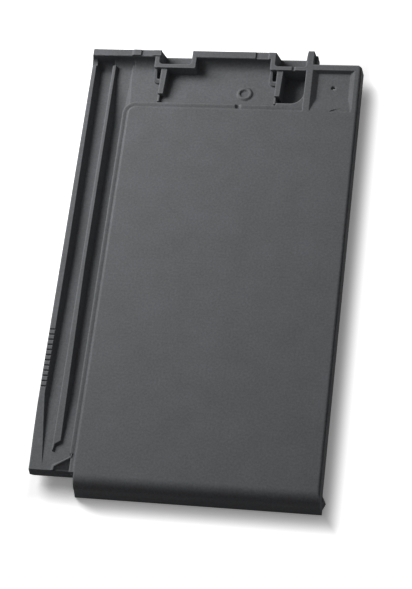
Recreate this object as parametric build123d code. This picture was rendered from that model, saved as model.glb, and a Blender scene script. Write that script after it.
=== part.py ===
"""Flat interlocking clay roof tile: one fired piece, lying face up on level ground.

X runs across the tile from the outer edge of the open side lock to the covering edge, Y from the nose to
the head and Z upwards. Heights are taken from the face, at zero, until the last lines set the tile down.
"""

import math
import os

from build123d import *

os.makedirs("parts", exist_ok=True)

# Overall sizes and the face
LENGTH = 470.5
HEIGHT = 30.0
LOCK_WIDTH = 49.2
FACE_WIDTH = 229.0
FACE_THICK = 12.0
FACE_CORNER = 7.0
HEAD_LOCK = 66.9
DRAFT = 1.2

# Covering side: a rounded edge that hangs as a skirt, and a second rib inside it
EDGE_RADIUS = 3.1
SKIRT_Z = -15.5
SKIRT_LEAN = 0.7
SKIRT_THICK = 4.6
COVER_WIDTH = 41.0
COVER_THICK = 9.0
COVER_RIB_AT = 21.5
COVER_RIB_WIDTH = 4.6

# Nose
NOSE_RADIUS = 13.0
NOSE_LEAN = 10.0
NOSE_THICK = 11.5
NOSE_SPREAD = 3.2
LIP_HEIGHT = 3.0
LIP_SETBACK = 0.8
EAR_REACH = 1.8

# Ribs under the face
WEATHER_RIB_AT = 49.5
WEATHER_RIB_WIDTH = 13.0
WEATHER_RIB_LIFT = 6.0
STIFFENER_WIDTH = 10.0
STIFFENER_DEPTH = 5.5

# Mouldings round the two open sides of the face: arris, groove and bead
ARRIS = 2.2
GROOVE_Z = -2.0
BEAD_AT = 5.3
BEAD_WIDTH = 2.0
BEAD_LEAN = 2.0
BEAD_Z = -1.2

# Open side lock
LOCK_FRONT = 17.3
LOCK_THICK = 5.5
RIM_WIDTH = 5.8
RIM_HEAD_WIDTH = 4.2
RIM_Z = -11.0
GUTTER_Z = -20.5
GUTTER_HEAD_Z = -15.0
GUTTER_FOOT_Z = -15.5
GUTTER_FALL = 230.0
RAMP_LENGTH = 79.0
RAMP_Z = -17.2
RIM_FLARE = 8.8
RIM_TAPER = 1.9
RIM_TAPER_END = 86.0
RISE_FRONT = 10.0
RISE_LENGTH = 47.0
RIB_AT = 22.5
RIB_WIDTH = 3.1
RIB_FOOT_WIDTH = 6.6
RIB_LEAN = 3.4
RIB_Z = -10.0
RIB_FRONT = 49.8
OUTLET_LENGTH = 18.0
OUTLET_FOOT = 24.4
OUTLET_LEAN = 3.2

# Teeth cut across the rim
TEETH = 12
TOOTH_FIRST = 103.6
TOOTH_PITCH = 5.35
TOOTH_WIDTH = 2.0
TOOTH_DEPTH = 1.5

# Head lock
HEAD_THICK = 7.5
WALL_THICK = 8.0
WALL_FOOT = 9.0
TROUGH_DEEP = -13.0
TROUGH_SHALLOW = -6.9
TROUGH_FLAT = 24.5
TROUGH_FLANK = 8.8
NOTCH_WIDTHS = (42.8, 37.4)
NOTCH_DEPTH = 20.5
NOTCH_FROM_FACE = 19.6
ARM = 4.5
SHELF_Z = -16.0
SHELF_DRAFT = 3.3
FIN_AT = 7.4
FIN_WIDTH = 5.0
FIN_LENGTH = 31.0
FIN_Z = -2.0
RIDGE_LENGTH = 7.6
RIDGE_Z = -4.6
LIP_FROM_FIN = 16.8
LIP_Z = -3.0
POCKET_Z = -20.0
POCKET_BASE = 3.5
POCKET_CORNER = 13.0
RING_AT = 24.5
RING_FROM_FIN = 5.4
RING_RADIUS = 9.8
RING_HOLLOW = 5.2
RING_HEIGHT = 1.7
WALL_PADS = ((-6.6, 4.3, 1.5), (14.6, 25.3, 1.0))
WALL_DIP = 13.0
BEAD_GAP_AT = 28.2
ARM_GAP_AT = 13.4

# Covering corner with its nail hole
CORNER_WIDTH = 52.4
CORNER_LENGTH = 53.4
LONG_RIB = 6.3
RIB_TAIL = 2.0
LEDGE_Z = -7.0
CORNER_Z = -4.6
CORNER_WALL = 6.0
CORNER_RIM = 3.3
CORNER_FLANK = 4.8
CORNER_GROOVE = (19.5, 33.0)
CORNER_GROOVE_Z = -1.5
CORNER_SLOPE = 17.0
NAIL_HOLE = 3.4
NAIL_MOUTH = 5.4
NAIL_FROM_RIB = 22.3
NAIL_FROM_HEAD = 37.5

# Nibs that hook over the batten
NIB_DEPTH = 15.5
NIB_INSET = 4.0

# Places worked out from the sizes above
face_left = LOCK_WIDTH
face_right = face_left + FACE_WIDTH
face_head = LENGTH - HEAD_LOCK
edge_right = face_right + EDGE_RADIUS + SKIRT_LEAN
cover_left = face_right + EDGE_RADIUS - COVER_WIDTH
lock_base = GUTTER_Z - LOCK_THICK
head_base = TROUGH_DEEP - HEAD_THICK
bead_left = face_left - BEAD_AT
bead_head = face_head + BEAD_AT
bead_reach = BEAD_WIDTH / 2 + 0.6
wall_front = LENGTH - WALL_THICK
rib_left = face_right - CORNER_WIDTH
rib_right = rib_left + LONG_RIB
corner_rear = face_head + CORNER_LENGTH
arm_front = LENGTH - NOTCH_DEPTH
fin_front = arm_front + 2.0 - FIN_LENGTH
ramp_end = LOCK_FRONT + RAMP_LENGTH
outlet_end = LOCK_FRONT + OUTLET_LENGTH
notches = (
    (face_left + NOTCH_FROM_FACE, face_left + NOTCH_FROM_FACE + NOTCH_WIDTHS[0]),
    (rib_left + 0.2 - NOTCH_WIDTHS[1], rib_left + 0.2),
)


def shape(*points):
    """Flat closed outline."""
    return make_face(Polyline(*points, close=True))


def pad(x0, x1, y0, y1, radius=0.0):
    """Oblong outline, with round corners where a radius is given."""
    form = RectangleRounded(x1 - x0, y1 - y0, radius) if radius else Rectangle(x1 - x0, y1 - y0)
    return Pos((x0 + x1) / 2, (y0 + y1) / 2) * form


def across(outline, x0, x1):
    """Solid with an outline in (y, z), carried across the tile."""
    return extrude(Plane.YZ.offset(x0) * outline, amount=x1 - x0)


def along(outline, y0, y1):
    """Solid with an outline in (x, z), carried along the tile."""
    return extrude(Plane.XZ.offset(-y0) * outline, amount=y0 - y1)


def upright(outline, z0, z1):
    """Solid with an outline in (x, y), carried upwards."""
    return extrude(Pos(0, 0, z0) * outline, amount=z1 - z0)


def drafted(outline, top, foot, draft=DRAFT):
    """Solid that leaves its mould: the outline at its top, larger all round by the draft at its foot."""
    wide = offset(outline, amount=draft, kind=Kind.INTERSECTION)
    return loft([Pos(0, 0, foot) * wide, Pos(0, 0, top) * outline])


def rounded_edge(drop):
    """Top and outer side of the covering edge, down to a given height."""
    bend = CenterArc((face_right, -EDGE_RADIUS), EDGE_RADIUS, 0, 90)
    return bend + Line((face_right + EDGE_RADIUS, -EDGE_RADIUS), (edge_right, drop))


def make_field():
    """Flat face with a round corner, and the covering side with its skirt and hanging rib."""
    inset = 2.0
    flat = FilletPolyline(
        (face_left + inset, NOSE_THICK),
        (face_left + inset, face_head - inset),
        (cover_left, face_head - inset),
        radius=FACE_CORNER - inset,
    )
    plate = make_face(flat + Polyline(flat @ 1, (cover_left, NOSE_THICK), flat @ 0))
    inner = edge_right - SKIRT_THICK
    under = Polyline(
        (edge_right, SKIRT_Z),
        (inner, SKIRT_Z),
        (inner - DRAFT, -COVER_THICK),
        (cover_left + FACE_THICK - COVER_THICK, -COVER_THICK),
        (cover_left, -FACE_THICK),
        (cover_left - 1.0, -FACE_THICK),
        (cover_left - 1.0, 0),
        (face_right, 0),
    )
    cover = make_face(rounded_edge(SKIRT_Z) + under)
    rib = edge_right - COVER_RIB_AT - COVER_RIB_WIDTH
    hanging = shape(
        (rib - DRAFT, 1.0 - COVER_THICK),
        (rib, SKIRT_Z),
        (rib + COVER_RIB_WIDTH, SKIRT_Z),
        (rib + COVER_RIB_WIDTH + DRAFT, 1.0 - COVER_THICK),
    )
    field = upright(plate, -FACE_THICK, 0) + along(cover, NOSE_THICK, corner_rear)
    return field + along(hanging, NOSE_THICK, face_head - inset)


def make_nose():
    """The face bends down into a leaning apron with a set-back lip, which the tile rests on."""
    lean = math.radians(NOSE_LEAN)
    lip = LIP_HEIGHT - HEIGHT
    tangent_z = -NOSE_RADIUS * (1 - math.sin(lean))
    tangent_y = (tangent_z - lip) * math.tan(lean)
    bend_y = tangent_y + NOSE_RADIUS * math.cos(lean)
    bend = CenterArc((bend_y, -NOSE_RADIUS), NOSE_RADIUS, 90, 90 - NOSE_LEAN)
    rest = Polyline(
        bend @ 1,
        (0, lip),
        (LIP_SETBACK, lip - 0.5),
        (LIP_SETBACK, 1.4 - HEIGHT),
        (LIP_SETBACK + 1.2, -HEIGHT),
        (NOSE_THICK, -HEIGHT),
        (NOSE_THICK + 2.0, -FACE_THICK - 5.0),
        (NOSE_THICK + 7.0, 1.0 - FACE_THICK),
        (NOSE_THICK + 7.0, 0),
        (bend_y, 0),
    )
    side_view = make_face(bend + rest)
    end = Polyline(
        (edge_right, SKIRT_Z),
        (edge_right - 0.5, LIP_HEIGHT - HEIGHT),
        (edge_right - 4.0, -HEIGHT),
        (face_left - NOSE_SPREAD, -HEIGHT),
        (face_left - 0.6, -NOSE_RADIUS),
        (face_left, 0),
        (face_right, 0),
    )
    front_view = make_face(rounded_edge(SKIRT_Z) + end)
    nose = along(front_view, 0, NOSE_THICK + 7.0) & across(side_view, 0, edge_right + 5.0)
    tip = edge_right + EAR_REACH
    ear = shape(
        (edge_right - 4.0, NOSE_THICK + 15.0),
        (edge_right - 2.4, NOSE_THICK + 9.0),
        (edge_right - 0.8, NOSE_THICK + 4.5),
        (tip, NOSE_THICK),
        (edge_right - 0.4, NOSE_THICK - 5.0),
        (edge_right - 2.0, NOSE_THICK - 7.0),
    )
    return nose + upright(ear, -HEIGHT, SKIRT_Z + 0.5)


def make_underside():
    """Weather rib behind the nose and two lengthwise stiffening ribs, clear of the batten."""
    root = 1.0 - FACE_THICK
    front = WEATHER_RIB_AT
    rear = front + WEATHER_RIB_WIDTH
    foot = WEATHER_RIB_LIFT - HEIGHT
    section = shape((front, root), (front + 3.5, foot), (rear - 3.5, foot), (rear, root))
    ribs = across(section, face_left + 14.0, cover_left - 6.0)
    start = rear - 4.0
    deep = root - STIFFENER_DEPTH
    run = shape((start, root), (start + 12.0, deep), (face_head - 7.0, deep), (face_head - 3.0, root))
    for share in (1, 3):
        x = face_left + (cover_left - face_left) * share / 4 - STIFFENER_WIDTH / 2
        ribs += across(run, x, x + STIFFENER_WIDTH)
    return ribs


def make_mouldings():
    """Arris, groove and bead, swept round the corner of the face."""
    route = FilletPolyline(
        (face_left, LOCK_FRONT),
        (face_left, face_head),
        (rib_left + 1.0, face_head),
        radius=FACE_CORNER,
    )
    root = 1.0 - FACE_THICK
    arris = [(-3.0, root), (-3.0, 0), (0, 0), (ARRIS, GROOVE_Z), (BEAD_AT, GROOVE_Z), (BEAD_AT, root)]
    section = shape(*[(face_left - out, z) for out, z in arris])
    edge = sweep(Plane.XZ.offset(-LOCK_FRONT) * section, path=route)
    bead_route = FilletPolyline(
        (bead_left, outlet_end),
        (bead_left, bead_head),
        (rib_left + 1.0, bead_head),
        radius=FACE_CORNER + BEAD_AT,
    )
    half = BEAD_WIDTH / 2
    deep = GUTTER_Z - 0.5
    bead = [
        (-half - BEAD_LEAN, GROOVE_Z - 0.1),
        (-half, BEAD_Z),
        (half, BEAD_Z),
        (bead_reach, BEAD_Z - 0.7),
        (bead_reach + 4.2, deep),
        (-half - BEAD_LEAN, deep),
    ]
    section = shape(*[(bead_left - out, z) for out, z in bead])
    return edge + sweep(Plane.XZ.offset(-outlet_end) * section, path=bead_route)


def make_side_lock():
    """Rim and two gutters with a rib between them, which ramp up to the outlet at the foot."""
    root = 1.0 - FACE_THICK
    stations = (
        (LOCK_FRONT, RIM_WIDTH, GUTTER_FOOT_Z),
        (LOCK_FRONT + GUTTER_FALL, RIM_WIDTH, GUTTER_Z),
        (wall_front + 3.0, RIM_HEAD_WIDTH, GUTTER_Z),
    )
    sections = []
    for y, width, floor in stations:
        section = shape(
            (0, RIM_Z - 0.8),
            (0.8, RIM_Z),
            (width, RIM_Z),
            (width + 3.4, floor),
            (face_left, floor),
            (face_left, floor - LOCK_THICK),
            (5.0, floor - LOCK_THICK),
            (0, floor - LOCK_THICK + 4.0),
        )
        sections.append(Plane.XZ.offset(-y) * section)
    lock = loft(sections[:2], ruled=True) + loft(sections[1:], ruled=True)
    web = shape(
        (bead_left, GUTTER_FOOT_Z - 1.0),
        (bead_left, root),
        (face_left + 3.0, root),
        (face_left + 7.0, -FACE_THICK),
        (face_left, GUTTER_FOOT_Z - LOCK_THICK),
    )
    lock += along(web, LOCK_FRONT, bead_head)
    base = GUTTER_Z - 1.0
    start = face_head - RISE_FRONT
    raised = shape(
        (start, base),
        (start, GUTTER_Z),
        (start + RISE_LENGTH, GUTTER_HEAD_Z),
        (wall_front, GUTTER_HEAD_Z),
        (wall_front, base),
    )
    lock += across(raised, RIB_AT + 1.0, face_left)
    base = GUTTER_FOOT_Z - 2.5
    ramp = shape(
        (LOCK_FRONT, base),
        (LOCK_FRONT, RIM_Z),
        (LOCK_FRONT + 7.0, RIM_Z),
        (ramp_end, RAMP_Z),
        (ramp_end, base),
    )
    lock += across(ramp, RIM_WIDTH, bead_left)
    flare = shape(
        (3.0, ramp_end),
        (RIM_WIDTH, ramp_end),
        (RIM_WIDTH + RIM_FLARE, LOCK_FRONT + 5.0),
        (RIM_WIDTH + RIM_FLARE, LOCK_FRONT + 2.0),
        (3.0, LOCK_FRONT + 2.0),
    )
    lock += drafted(flare, RIM_Z, base, 2.0)
    plan = (
        (RIB_AT, wall_front - 6.0, -DRAFT, DRAFT),
        (RIB_AT + RIB_WIDTH, wall_front - 6.0, RIB_LEAN, DRAFT),
        (RIB_AT + RIB_WIDTH, LENGTH / 2, RIB_LEAN, 0),
        (RIB_AT + RIB_FOOT_WIDTH, RIB_FRONT, RIB_LEAN, -DRAFT),
        (RIB_AT + 1.2, RIB_FRONT - 3.4, DRAFT, -DRAFT),
        (RIB_AT + 0.4, RIB_FRONT - 9.6, DRAFT, -DRAFT),
        (RIB_AT - 0.6, RIB_FRONT - 9.6, -DRAFT, -DRAFT),
        (RIB_AT - 0.6, LENGTH / 2, -DRAFT, 0),
    )
    top = Pos(0, 0, RIB_Z) * shape(*[(x, y) for x, y, _, _ in plan])
    foot = Pos(0, 0, GUTTER_Z - 0.5) * shape(*[(x + dx, y + dy) for x, y, dx, dy in plan])
    return lock + loft([foot, top], ruled=True)


def make_outlet():
    """Bed that leads the groove down to the foot of the lock, with a low lip on its open side."""
    base = GUTTER_FOOT_Z - 1.0
    line = (
        (bead_left, outlet_end + 0.5, BEAD_Z),
        (bead_left, outlet_end - 3.0, BEAD_Z - 0.2),
        (OUTLET_FOOT + 2.2, LOCK_FRONT + 7.1, RIM_Z + 3.1),
        (OUTLET_FOOT, LOCK_FRONT, RIM_Z + 0.6),
    )
    outward = ((-1.0, 0), (-1.0, 0.64), (-0.82, 0.72), (-1.05, 0))
    sections = []
    for (x, y, z), (dx, dy) in zip(line, outward):
        profile = ((-1.0, base), (-1.0, z), (0.4, z), (OUTLET_LEAN, RIM_Z - 1.0), (OUTLET_LEAN, base))
        section = Polyline(*[(x + out * dx, y + out * dy, height) for out, height in profile], close=True)
        sections.append(make_face(section))
    lip = loft(sections, ruled=True)
    bed_plan = shape(*[(x, y) for x, y, _ in line[1:]], (face_left, LOCK_FRONT), (face_left, line[1][1]))
    side = shape(
        (LOCK_FRONT, base),
        (LOCK_FRONT, RIM_Z - 0.8),
        (LOCK_FRONT + 3.0, RIM_Z - 0.8),
        (LOCK_FRONT + OUTLET_LENGTH - 3.0, GROOVE_Z),
        (outlet_end, GROOVE_Z),
        (outlet_end, base),
    )
    return (upright(bed_plan, base, 0) & across(side, 0, face_left)) + lip


def make_wall(floor, base, x0, x1, radius=WALL_FOOT):
    """Wall that closes the head lock; its hollow foot rises from a floor at the given height."""
    start = wall_front - radius
    foot = CenterArc((start, floor + radius), radius, -90, 90)
    rest = Polyline(
        foot @ 1,
        (wall_front, -0.7),
        (wall_front + 0.7, 0),
        (LENGTH - 0.9, 0),
        (LENGTH, -0.9),
        (LENGTH, base),
        (start, base),
        (start, floor),
    )
    return across(make_face(foot + rest), x0, x1)


def make_head_lock():
    """Sloping trough behind the bead, closed by the head wall."""
    root = 1.0 - FACE_THICK
    slab = shape(
        (face_head - 12.0, root),
        (bead_head, root),
        (bead_head, TROUGH_DEEP),
        (wall_front, TROUGH_DEEP),
        (wall_front, head_base),
        (face_head - 3.0, head_base),
        (face_head - 12.0, -FACE_THICK),
    )
    floor = shape(
        (bead_head, head_base),
        (bead_head, TROUGH_SHALLOW),
        (LENGTH - TROUGH_FLAT, TROUGH_DEEP),
        (wall_front, TROUGH_DEEP),
        (wall_front, head_base),
    )
    flank_top = face_left - ARRIS
    flank = shape(
        (flank_top - TROUGH_FLANK, head_base),
        (flank_top, TROUGH_SHALLOW),
        (rib_left, TROUGH_SHALLOW),
        (rib_left, head_base),
    )
    head = across(slab, face_left - 1.0, rib_right)
    head += across(floor, flank_top - TROUGH_FLANK, rib_left) & along(flank, face_head, LENGTH)
    head += make_wall(TROUGH_DEEP, head_base, face_left - 4.0, rib_left + 1.0)
    side = make_wall(GUTTER_Z, lock_base, 0, RIB_AT + 1.0)
    side += make_wall(GUTTER_HEAD_Z, lock_base, RIB_AT + 1.0, face_left)
    side += make_wall(RIM_Z, lock_base, 0, RIM_HEAD_WIDTH + 1.4, 6.0)
    end = shape((-1.0, 1.0), (3.2, 1.0), (2.2, -0.7), (0, RIM_Z), (-1.0, RIM_Z))
    return head + (side - along(end, wall_front - WALL_FOOT, LENGTH + 1.0))


def make_wall_pads():
    """Raised and lowered stretches on top of the wall, where the tile laid above it bears."""
    pads = []
    for start, end, high in WALL_PADS:
        x0 = face_left + start
        x1 = face_left + end
        outline = shape((x0, -0.5), (x0 + 3.2, high), (x1, high), (x1 + 0.4, -0.5))
        pads.append(along(outline, wall_front + 0.7, LENGTH - 0.9))
    return pads


def make_wall_dip():
    """Short lowered stretch beside the second notch."""
    x1 = notches[1][0] - 3.0
    x0 = x1 - WALL_DIP
    outline = shape((x0, 1.0), (x0, -1.2), (x1, -1.2), (x1 + 1.0, 1.0))
    return along(outline, wall_front - 1.0, LENGTH + 1.0)


def make_step(x0, x1):
    """The wall steps forward round a notch."""
    return drafted(pad(x0, x1, arm_front, LENGTH - 2.0, 1.5), 0, TROUGH_DEEP - 1.0)


def make_shelf(x0, x1, arm):
    """Space over the low shelf in a notch, with an arm of the given width on its right."""
    plan = pad(x0 + ARM, x1 - arm, arm_front + ARM - 0.5, LENGTH + 10.0, 3.6)
    return drafted(plan, 0.2, SHELF_Z, -SHELF_DRAFT)


def make_fin(x0):
    """Fin in front of a notch, with a low ridge before it and a curved lip beside it."""
    x = x0 + FIN_AT
    rear = arm_front + 2.0
    foot = POCKET_Z - 1.0
    blade = shape((x, fin_front), (x + FIN_WIDTH, fin_front), (x + FIN_WIDTH + 1.3, rear), (x, rear))
    fin = drafted(blade, FIN_Z, foot)
    fin += drafted(pad(x - 0.6, x + 1.4, fin_front - RIDGE_LENGTH, fin_front), RIDGE_Z, foot, 0.6)
    start = fin_front + LIP_FROM_FIN
    lip = drafted(pad(x0 + 0.2, x + 3.0, start, rear + 4.0, 4.0), LIP_Z, TROUGH_DEEP - 1.0, 2.0)
    front = start - 5.6
    rise = shape((front, foot), (front, TROUGH_DEEP + 1.8), (arm_front, LIP_Z), (rear, LIP_Z), (rear, foot))
    hole = upright(pad(x0 + 2.8, x - 0.1, start + 2.8, arm_front + 0.2, 1.4), TROUGH_DEEP + 0.5, 0)
    return fin + (lip & across(rise, x0 - 4.0, x + 4.0)), hole


def make_ring():
    """Round mark on the slope of the trough: a low ring with a hollow centre."""
    x = notches[1][0] - RING_AT
    y = fin_front + RING_FROM_FIN
    fall = (TROUGH_SHALLOW - TROUGH_DEEP) / (LENGTH - TROUGH_FLAT - bead_head)
    z = TROUGH_SHALLOW - (y - bead_head) * fall
    place = Pos(x, y, z) * Rot(X=-math.degrees(math.atan(fall)))
    ring = Pos(0, 0, RING_HEIGHT / 2 - 0.5) * Cone(RING_RADIUS, RING_HOLLOW + 1.6, RING_HEIGHT + 1.0)
    hollow = Pos(0, 0, RING_HEIGHT / 2) * Cone(RING_HOLLOW - 1.4, RING_HOLLOW, RING_HEIGHT)
    return place * (ring - hollow)


def make_bead_gap():
    """Short gap in the head bead below the round mark."""
    x = notches[1][0] - BEAD_GAP_AT
    outline = shape((x - 4.4, 0.2), (x - 0.8, -4.0), (x + 0.8, -4.0), (x + 4.4, 0.2))
    return along(outline, face_head + ARRIS, bead_head + 3.0)


def make_arm_gap():
    """Small nick in the arm of the second notch."""
    x = notches[1][1] - ARM_GAP_AT
    return along(shape((x - 2.1, 0.2), (x, -1.6), (x + 2.1, 0.2)), arm_front - 1.0, arm_front + ARM + 1.0)


def make_pocket():
    """Deep pocket between the second fin and the long rib, with one large round corner."""
    left = notches[1][0] + FIN_AT + 1.4
    front = bead_head + 3.7
    bend = FilletPolyline((left, front), (rib_left, front), (rib_left, arm_front), radius=POCKET_CORNER)
    plan = make_face(bend + Polyline(bend @ 1, (left, arm_front), bend @ 0))
    frame_plan = pad(left + 1.0, rib_left + 1.0, bead_head, arm_front + 1.0)
    frame = upright(frame_plan, head_base - POCKET_BASE, BEAD_Z)
    return frame, drafted(plan, 0.2, POCKET_Z, -DRAFT)


def make_long_rib():
    """Rib that parts the trough from the covering corner, with a ledge behind the corner."""
    rib = drafted(pad(rib_left, rib_right, face_head - 2.0, LENGTH + RIB_TAIL), 0, head_base)
    ledge = upright(pad(rib_left, rib_right + 3.2, face_head, LENGTH + 0.4), head_base, LEDGE_Z)
    link = upright(pad(rib_left, cover_left + 1.0, face_head - 6.0, corner_rear), -FACE_THICK, 0)
    return rib + ledge + link


def make_corner():
    """Sunk corner on the covering side: its floor slopes down from the face, past the end of the groove."""
    x0 = rib_right + 0.4
    x1 = face_right - CORNER_RIM
    rear = corner_rear - CORNER_WALL
    slope_end = face_head + CORNER_SLOPE
    front_view = shape((x0, 0), (x0 + CORNER_FLANK + 0.8, CORNER_Z), (x1 - CORNER_FLANK, CORNER_Z), (x1, 0))
    side_view = shape((face_head, 0), (slope_end, CORNER_Z), (rear - 1.6, CORNER_Z), (rear, 0))
    hollow = along(front_view, face_head, rear) & across(side_view, x0, x1)
    start = x0 + CORNER_GROOVE[0]
    end = x0 + CORNER_GROOVE[1]
    bend = ThreePointArc((start, face_head), (start + 5.8, face_head + 3.7), (end, face_head + BEAD_AT))
    plan = make_face(bend + Polyline(bend @ 1, (x1, face_head + BEAD_AT), (x1, face_head), bend @ 0))
    deep = CORNER_GROOVE_Z
    groove = shape((face_head, 0), (face_head + ARRIS, deep), (slope_end, deep), (slope_end, 0))
    stop = shape((x0, 0), (x0, deep), (x1 - 2.4, deep), (x1 - 0.4, 0))
    cut = across(groove, x0, x1) & along(stop, face_head, slope_end)
    nail = Pos(rib_right + NAIL_FROM_RIB, LENGTH - NAIL_FROM_HEAD)
    bore = nail * Cylinder(NAIL_HOLE / 2, 4 * COVER_THICK)
    mouth = nail * Pos(0, 0, CORNER_Z - 0.5) * Cone(NAIL_HOLE / 2, NAIL_MOUTH / 2, 1.0)
    return hollow + (cut & upright(plan, deep, 0)) + bore + mouth


def make_corner_round():
    """Rounded rear corner of the covering edge."""
    x = edge_right + 1.0
    y = corner_rear + 1.0
    outline = shape((x, y), (x - 6.0, y), (x - 5.2, y - 1.0), (x - 1.0, y - 3.0), (x, y - 3.0))
    return upright(outline, SKIRT_Z - 1.0, 1.0)


def make_nib(x0, x1):
    """Nib under a notch; its flat front hooks over the batten."""
    rear = LENGTH - 2.5
    front = rear - NIB_DEPTH
    root = head_base + 1.0
    section = shape((front, root), (front, -HEIGHT), (rear - 2.5, -HEIGHT), (rear, root))
    return across(section, x0 + NIB_INSET, x1 - NIB_INSET)


tile = make_field() + make_nose() + make_underside()
tile += make_side_lock()
front_lean = shape(
    (LOCK_FRONT - 1.0, RIM_Z - 6.0),
    (LOCK_FRONT, RIM_Z - 6.0),
    (LOCK_FRONT + 3.0, RIM_Z),
    (LOCK_FRONT + 3.0, 1.0),
    (LOCK_FRONT - 1.0, 1.0),
)
tile += make_outlet() - across(front_lean, 0, face_left)
tile -= across(front_lean, -1.0, face_left - NOSE_SPREAD)
outer_lean = shape(
    (-2.0, RIM_TAPER_END),
    (0, RIM_TAPER_END),
    (RIM_TAPER, LOCK_FRONT + 9.0),
    (RIM_TAPER, LOCK_FRONT - 1.0),
    (-2.0, LOCK_FRONT - 1.0),
)
tile -= upright(outer_lean, lock_base - 1.0, 0)
half = TOOTH_WIDTH / 2
for n in range(TEETH):
    y = TOOTH_FIRST + n * TOOTH_PITCH
    cut = shape((y - half, RIM_Z + 0.1), (y, RIM_Z - TOOTH_DEPTH), (y + half, RIM_Z + 0.1))
    tile -= across(cut, -1.0, RIM_WIDTH + 0.5)

tile += make_head_lock()
tile += make_mouldings()
tile += make_long_rib()
frame, pocket = make_pocket()
tile += frame
for x0, x1 in notches:
    tile += make_step(x0, x1)
tile -= pocket
for x0, x1 in notches:
    fin, hole = make_fin(x0)
    tile = tile + fin - hole
    tile += make_nib(x0, x1)
    tile -= make_shelf(x0, x1, ARM if x1 < rib_left else 0.4)
for raised in make_wall_pads():
    tile += raised
tile += make_ring()
tile -= make_wall_dip()
tile -= make_bead_gap()
tile -= make_arm_gap()
tile -= make_corner()
tile -= make_corner_round()

tile = tile.clean()
print("tile", tile.is_valid, len(tile.solids()), round(tile.volume))
# The origin is on the ground under the middle of the tile.
size = tile.bounding_box()
tile = Pos(-size.center().X, -size.center().Y, -size.min.Z) * tile
export_step(tile, "parts/roof_tile.step")
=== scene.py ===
import math

import bmesh
import bpy
from mathutils import Matrix, Vector


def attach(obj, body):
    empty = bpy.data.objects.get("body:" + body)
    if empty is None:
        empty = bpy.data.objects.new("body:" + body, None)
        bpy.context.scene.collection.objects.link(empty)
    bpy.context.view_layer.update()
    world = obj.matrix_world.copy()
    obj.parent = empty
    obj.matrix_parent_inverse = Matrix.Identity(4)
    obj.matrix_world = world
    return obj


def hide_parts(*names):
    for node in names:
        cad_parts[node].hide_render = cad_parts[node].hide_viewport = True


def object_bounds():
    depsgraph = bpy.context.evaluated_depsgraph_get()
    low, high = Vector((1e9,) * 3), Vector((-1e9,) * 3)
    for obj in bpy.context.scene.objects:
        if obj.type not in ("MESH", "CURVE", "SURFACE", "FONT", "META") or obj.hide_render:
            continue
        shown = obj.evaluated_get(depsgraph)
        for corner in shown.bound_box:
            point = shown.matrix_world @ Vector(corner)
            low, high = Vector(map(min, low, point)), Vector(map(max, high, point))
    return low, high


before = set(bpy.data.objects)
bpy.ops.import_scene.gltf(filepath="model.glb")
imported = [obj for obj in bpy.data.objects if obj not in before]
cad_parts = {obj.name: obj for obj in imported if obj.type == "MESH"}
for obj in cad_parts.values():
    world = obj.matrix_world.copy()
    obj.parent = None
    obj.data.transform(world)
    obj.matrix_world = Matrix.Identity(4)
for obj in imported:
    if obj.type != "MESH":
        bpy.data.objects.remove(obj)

cad_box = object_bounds()

# The tile: one piece of fired clay, pressed between moulds with its face, nose and locks in one go. This is
# a copy of the CAD node. The front strip of its plate, which stands up to 0.7 mm proud of the nose, comes
# down to the bend, and the faces of a closed hollow inside the clay are left out.
NOSE_RADIUS = 0.013
NOSE_LEAN = math.radians(10)
NOSE_LIP = 0.003
PLATE_START = 0.0115
FACE_HEIGHT = 0.03
BEND_STRIPS = 5
CAD_WELD = 1e-6
CUT_WELD = 2e-5
SHARP_FROM = math.radians(28)

cad_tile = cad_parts["roof_tile"]
nose_front = cad_box[0][1]
plate_y = nose_front + PLATE_START
bend_z = FACE_HEIGHT - NOSE_RADIUS
apron_top = bend_z + NOSE_RADIUS * math.sin(NOSE_LEAN)
bend_y = nose_front + (apron_top - NOSE_LIP) * math.tan(NOSE_LEAN) + NOSE_RADIUS * math.cos(NOSE_LEAN)
shell = bmesh.new()
shell.from_mesh(cad_tile.data)
bmesh.ops.remove_doubles(shell, verts=shell.verts, dist=CAD_WELD)
for n in range(BEND_STRIPS + 1):
    cut = (0, bend_y + (plate_y - bend_y) * n / BEND_STRIPS, 0)
    whole = shell.verts[:] + shell.edges[:] + shell.faces[:]
    bmesh.ops.bisect_plane(shell, geom=whole, dist=CAD_WELD, plane_co=cut, plane_no=(0, 1, 0))
for vert in shell.verts:
    if plate_y - CAD_WELD < vert.co.y < bend_y:
        arc = bend_z + math.sqrt(NOSE_RADIUS**2 - (bend_y - vert.co.y) ** 2)
        vert.co.z = min(vert.co.z, arc)
bmesh.ops.remove_doubles(shell, verts=shell.verts, dist=CUT_WELD)
bmesh.ops.dissolve_degenerate(shell, edges=shell.edges, dist=CAD_WELD)
outer = set()
reached = [max(shell.verts, key=lambda vert: vert.co.z)]
while reached:
    vert = reached.pop()
    if vert not in outer:
        outer.add(vert)
        reached.extend(edge.other_vert(vert) for edge in vert.link_edges)
hollow = [vert for vert in shell.verts if vert not in outer]
bmesh.ops.delete(shell, geom=hollow, context="VERTS")
for face in shell.faces:
    face.smooth = True
for edge in shell.edges:
    edge.smooth = edge.is_manifold and edge.calc_face_angle(0) < SHARP_FROM
tile_mesh = bpy.data.meshes.new("fired tile")
shell.to_mesh(tile_mesh)
shell.free()
if "custom_normal" in tile_mesh.attributes:
    tile_mesh.attributes.remove(tile_mesh.attributes["custom_normal"])
tile = bpy.data.objects.new("fired_tile", tile_mesh)
bpy.context.scene.collection.objects.link(tile)
even = tile.modifiers.new("flat faces stay flat", "WEIGHTED_NORMAL")
even.keep_sharp = True


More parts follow.
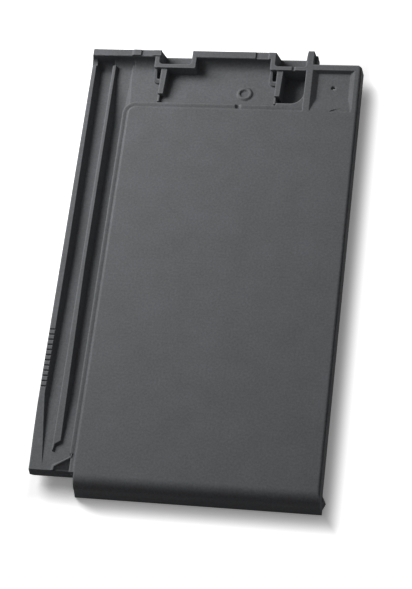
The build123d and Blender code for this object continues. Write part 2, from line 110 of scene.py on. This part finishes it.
def linear(hex_colour):
    """An sRGB hex value as the linear colour that a shader takes."""
    parts = [int(hex_colour[i : i + 2], 16) / 255 for i in (1, 3, 5)]
    return [c / 12.92 if c <= 0.04045 else ((c + 0.055) / 1.055) ** 2.4 for c in parts] + [1.0]


def add(tree, kind, settings=None, links=None):
    """Adds one node; settings are its properties or socket values, links are sockets of other nodes."""
    node = tree.nodes.new(kind)
    for name, value in (settings or {}).items():
        if name in node.inputs:
            node.inputs[name].default_value = value
        else:
            setattr(node, name, value)
    for name, source in (links or {}).items():
        tree.links.new(source, node.inputs[name])
    return node


# Its coat: a slate-grey engobe, a thin slip of fine clay that is sprayed on and fired without a glaze. It is
# matt and dry. Its fine grain is drawn a little coarser than real to show, and it has faint clouds where it
# lies thicker. Its arrises are drawn paler, a painted highlight where the edges catch the lamp.
THIN_COAT = "#646567"
THICK_COAT = "#696b6e"
CLOUD = 0.03
GRAIN = 0.002
GRAIN_CONTRAST = 0.14
GRAIN_DEPTH = 0.0002
# How wide the painted highlight on the arrises is, and how much paler it makes them.
ARRIS_WIDTH = 0.0018
ARRIS_HIGHLIGHT = 1.45
SOFT_EDGE = 0.0014

coat = bpy.data.materials.new("Matt slate engobe on fired clay")
coat.use_nodes = True
skin = coat.node_tree
skin.nodes.clear()
place = {"Vector": add(skin, "ShaderNodeTexCoord").outputs["Object"]}
cloud = add(skin, "ShaderNodeTexNoise", {"Scale": 1 / CLOUD, "Detail": 3.0, "Roughness": 0.6}, place)
grain = add(skin, "ShaderNodeTexNoise", {"Scale": 1 / GRAIN, "Detail": 2.0, "Roughness": 0.7}, place)
tint = add(skin, "ShaderNodeValToRGB", None, {"Fac": cloud.outputs["Fac"]})
tint.color_ramp.elements[0].position = 0.3
tint.color_ramp.elements[0].color = linear(THIN_COAT)
tint.color_ramp.elements[1].position = 0.7
tint.color_ramp.elements[1].color = linear(THICK_COAT)
speck = add(
    skin,
    "ShaderNodeMapRange",
    {"From Min": 0.3, "From Max": 0.7, "To Min": 1 - GRAIN_CONTRAST, "To Max": 1 + GRAIN_CONTRAST},
    {"Value": grain.outputs["Fac"]},
)
# Painted highlight: the coat is made paler on the convex arrises, standing in for the lamp catching the
# edges.
arris = add(skin, "ShaderNodeAmbientOcclusion", {"inside": True, "samples": 8, "Distance": ARRIS_WIDTH})
painted_edge_highlight = add(
    skin,
    "ShaderNodeMapRange",
    {"From Min": 0.95, "From Max": 0.6, "To Min": 1.0, "To Max": ARRIS_HIGHLIGHT},
    {"Value": arris.outputs["AO"]},
)
grain_and_highlight = add(
    skin,
    "ShaderNodeMath",
    {"operation": "MULTIPLY"},
    {0: speck.outputs["Result"], 1: painted_edge_highlight.outputs["Result"]},
)
hue = add(
    skin,
    "ShaderNodeVectorMath",
    {"operation": "SCALE"},
    {"Vector": tint.outputs["Color"], "Scale": grain_and_highlight.outputs["Value"]},
)
dryness = add(skin, "ShaderNodeMapRange", {"To Min": 0.7, "To Max": 0.82}, {"Value": cloud.outputs["Fac"]})
rounded = add(skin, "ShaderNodeBevel", {"samples": 6, "Radius": SOFT_EDGE})
tooth = add(
    skin,
    "ShaderNodeBump",
    {"Strength": 0.5, "Distance": GRAIN_DEPTH},
    {"Height": grain.outputs["Fac"], "Normal": rounded.outputs["Normal"]},
)
surface = add(
    skin,
    "ShaderNodeBsdfPrincipled",
    {"Specular IOR Level": 0.15},
    {
        "Base Color": hue.outputs["Vector"],
        "Roughness": dryness.outputs["Result"],
        "Normal": tooth.outputs["Normal"],
    },
)
add(skin, "ShaderNodeOutputMaterial", None, {"Surface": surface.outputs["BSDF"]})
tile_mesh.materials.append(coat)
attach(tile, "root")
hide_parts("roof_tile")

# The floor: plain white ground a hair below the tile, which holds its shadow. What the camera and gloss see
# is white, with a painted shade that dims it softly to grey close round the tile. The light that it throws
# back is that of dull paper.
FLOOR_REACH = 3.0
FLOOR_DROP = 0.0001
DULL_PAPER = "#2c2c2c"
PAPER_WHITE = 1.15
# The painted shade round the tile: how bright the ground's glow is close in, and where it starts and ends.
SHADE_LEVEL = 0.16
SHADE_INNER = -0.002
SHADE_OUTER = 0.0205
SHADE_STRETCH = 0.7

floor_mesh = bpy.data.meshes.new("floor")
corners = [(x * FLOOR_REACH, y * FLOOR_REACH, 0) for x, y in ((-1, -1), (1, -1), (1, 1), (-1, 1))]
floor_mesh.from_pydata(corners, [], [(0, 1, 2, 3)])
floor = bpy.data.objects.new("floor", floor_mesh)
bpy.context.scene.collection.objects.link(floor)
floor.location.z = -FLOOR_DROP
paper = bpy.data.materials.new("White ground")
paper.use_nodes = True
ground = paper.node_tree
ground.nodes.clear()
rays = add(ground, "ShaderNodeLightPath").outputs
larger = {"operation": "MAXIMUM"}
direct = add(ground, "ShaderNodeMath", larger, {0: rays["Is Camera Ray"], 1: rays["Is Glossy Ray"]})
seen = add(ground, "ShaderNodeMath", larger, {0: direct.outputs["Value"], 1: rays["Is Transmission Ray"]})
dull = add(ground, "ShaderNodeBsdfDiffuse", {"Color": linear(DULL_PAPER)})
white = add(ground, "ShaderNodeBsdfDiffuse", {"Color": (PAPER_WHITE, PAPER_WHITE, PAPER_WHITE, 1.0)})
spot = add(ground, "ShaderNodeTexCoord").outputs["Object"]
outward = add(ground, "ShaderNodeVectorMath", {"operation": "ABSOLUTE"}, {"Vector": spot})
beyond = add(ground, "ShaderNodeVectorMath", {"operation": "SUBTRACT"}, {0: outward.outputs["Vector"]})
beyond.inputs[1].default_value = (cad_box[1][0], cad_box[1][1], 0)
spread = add(ground, "ShaderNodeVectorMath", {"operation": "MULTIPLY"}, {0: beyond.outputs["Vector"]})
spread.inputs[1].default_value = (1.0, SHADE_STRETCH, 0.0)
gap = add(ground, "ShaderNodeSeparateXYZ", None, {"Vector": spread.outputs["Vector"]}).outputs
reach = add(ground, "ShaderNodeMath", larger, {0: gap["X"], 1: gap["Y"]})
# Painted shade: the ground's glow is low close round the tile and full further out, so the tile's shadow
# fades to white sooner than the lamp alone makes it.
lift = add(
    ground,
    "ShaderNodeMapRange",
    {
        "interpolation_type": "SMOOTHSTEP",
        "From Min": SHADE_INNER,
        "From Max": SHADE_OUTER,
        "To Min": SHADE_LEVEL,
        "To Max": 1.0,
    },
    {"Value": reach.outputs["Value"]},
)
glow = add(ground, "ShaderNodeEmission", None, {"Strength": lift.outputs["Result"]})
lit = add(ground, "ShaderNodeAddShader", None, {0: white.outputs["BSDF"], 1: glow.outputs["Emission"]})
choice = add(
    ground,
    "ShaderNodeMixShader",
    None,
    {0: seen.outputs["Value"], 1: dull.outputs["BSDF"], 2: lit.outputs["Shader"]},
)
add(ground, "ShaderNodeOutputMaterial", None, {"Surface": choice.outputs["Shader"]})
floor_mesh.materials.append(paper)

# The light: one broad soft lamp behind the tile and to its left, near enough for the face to darken a little
# towards the right, and an even white sky that is dim for all but the camera.
LAMP_PLACE = Vector((-0.72, 0.48, 0.65))
LAMP_SIZE = 0.62
LAMP_POWER = 13.5
SKY_LIGHT = 0.13

lamp_data = bpy.data.lights.new("soft lamp", "AREA")
lamp_data.energy = LAMP_POWER
lamp_data.size = LAMP_SIZE
lamp = bpy.data.objects.new("soft lamp", lamp_data)
lamp.location = LAMP_PLACE
lamp.rotation_euler = (-LAMP_PLACE).to_track_quat("-Z", "Y").to_euler()
bpy.context.scene.collection.objects.link(lamp)
world = bpy.data.worlds.new("even sky")
world.use_nodes = True
sky = world.node_tree
sky.nodes.clear()
view = add(sky, "ShaderNodeLightPath").outputs["Is Camera Ray"]
level = add(sky, "ShaderNodeMapRange", {"To Min": SKY_LIGHT, "To Max": 1.0}, {"Value": view})
air = add(sky, "ShaderNodeBackground", {"Color": (1, 1, 1, 1)}, {"Strength": level.outputs["Result"]})
add(sky, "ShaderNodeOutputWorld", None, {"Surface": air.outputs["Background"]})
bpy.context.scene.world = world

# The camera: above the nose and to the right, turned so that the tile stands almost upright in the picture.
# Its lens is the focal length that fits the tile's straight edges, as a share of the picture's height.
CAMERA_PLACE = (0.34317, -0.65999, 1.56259)
LOOK = Vector((-0.196713, 0.370346, -0.907826))
UP = Vector((-0.047187, 0.921268, 0.386054))
SENSOR = 36.0
FOCAL_SHARE = 1758 / 589

camera_data = bpy.data.cameras.new("camera")
camera_data.sensor_width = SENSOR
camera_data.lens = FOCAL_SHARE * SENSOR
camera = bpy.data.objects.new("camera", camera_data)
turned = Matrix((LOOK.cross(UP), UP, -LOOK)).transposed().to_4x4()
camera.matrix_world = Matrix.Translation(CAMERA_PLACE) @ turned
bpy.context.scene.collection.objects.link(camera)
bpy.context.scene.camera = camera
bpy.context.scene.view_settings.view_transform = "Standard"
